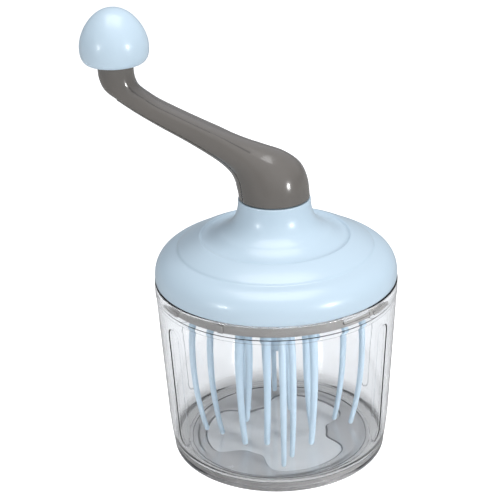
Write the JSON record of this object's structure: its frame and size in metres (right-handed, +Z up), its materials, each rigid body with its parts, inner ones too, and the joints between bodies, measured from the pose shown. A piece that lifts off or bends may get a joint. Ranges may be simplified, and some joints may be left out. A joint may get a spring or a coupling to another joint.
{
  "type": "hand-crank whisk bowl",
  "caption": "Clear lidded bowl with a hand crank on top that spins a multi-tine whisk through planetary step-up gears in the lid.",
  "frame": {"origin": "middle of the base pad's underside, on the surface that the bowl stands on", "axes": "+Z up along the bowl's axis, which is also the crank's and the whisk's axis; the crank's knob points towards -X"},
  "size_m": [0.1642, 0.1326, 0.2509],
  "materials": {
    "lid_blue": "polished pale blue ABS",
    "whisk_blue": "satin pale blue polypropylene",
    "arm_grey": "polished warm dark grey ABS",
    "ring_grey": "satin mid grey ABS",
    "cup_clear": "clear polished plastic",
    "pad_grey": "satin grey soft rubber, slightly translucent",
    "seal_white": "matt milky silicone",
    "washer_nylon": "matt natural nylon",
    "gear_white": "matt natural acetal",
    "bush_cream": "matt cream acetal",
    "steel": "plain turned stainless steel",
    "brass": "plain turned brass"
  },
  "bodies": {
    "cup": {"cup": "cup_clear", "base_pad": "pad_grey"},
    "seal": {"lid_seal": "seal_white"},
    "lid": {"lid_cover": "lid_blue", "lid_ring": "ring_grey", "lid_plate": "lid_blue", "plate_screw_1": "steel", "plate_screw_2": "steel", "plate_screw_3": "steel", "neck_bush": "bush_cream", "output_bush": "bush_cream", "thrust_washer": "washer_nylon", "ring_gear": "gear_white"},
    "crank": {"crank_arm": "arm_grey", "crank_cover": "arm_grey", "drive_shaft": "steel", "shaft_screw": "steel", "hub_insert": "brass", "planet_carrier": "gear_white", "planet_pin_1": "steel", "planet_pin_2": "steel", "planet_pin_3": "steel", "knob_pin": "steel", "knob_washer": "steel"},
    "knob": {"knob": "lid_blue", "knob_sleeve": "bush_cream"},
    "planet_1": {"planet_gear_1": "gear_white"},
    "planet_2": {"planet_gear_2": "gear_white"},
    "planet_3": {"planet_gear_3": "gear_white"},
    "whisk": {"sun_gear": "gear_white", "output_shaft": "steel", "whisk": "whisk_blue"}
  },
  "joints": [
    {"name": "lid_lift", "type": "slide", "parent": "cup", "child": "seal", "axis": [0, 0, 1], "range_m": [0, 0.12]},
    {"name": "lid_twist", "type": "hinge", "parent": "seal", "child": "lid", "pos_m": [0, 0, 0.1], "axis": [0, 0, 1], "range_deg": [-18, 0]},
    {"name": "crank_turn", "type": "hinge", "parent": "lid", "child": "crank", "pos_m": [0, 0, 0.13], "axis": [0, 0, 1], "continuous": true},
    {"name": "knob_spin", "type": "hinge", "parent": "crank", "child": "knob", "pos_m": [-0.08, 0, 0.225], "axis": [0, 0, 1], "continuous": true},
    {"name": "planet_1_spin", "type": "hinge", "parent": "crank", "child": "planet_1", "pos_m": [0.021, 0, 0.112], "axis": [0, 0, 1], "continuous": true},
    {"name": "planet_2_spin", "type": "hinge", "parent": "crank", "child": "planet_2", "pos_m": [-0.0105, 0.01819, 0.112], "axis": [0, 0, 1], "continuous": true},
    {"name": "planet_3_spin", "type": "hinge", "parent": "crank", "child": "planet_3", "pos_m": [-0.0105, -0.01819, 0.112], "axis": [0, 0, 1], "continuous": true},
    {"name": "whisk_spin", "type": "hinge", "parent": "lid", "child": "whisk", "pos_m": [0, 0, 0.1], "axis": [0, 0, 1], "continuous": true}
  ],
  "couplings": [
    {"joint": "planet_1_spin", "follows": "crank_turn", "ratio": -3},
    {"joint": "planet_2_spin", "follows": "crank_turn", "ratio": -3},
    {"joint": "planet_3_spin", "follows": "crank_turn", "ratio": -3},
    {"joint": "whisk_spin", "follows": "crank_turn", "ratio": 4}
  ]
}
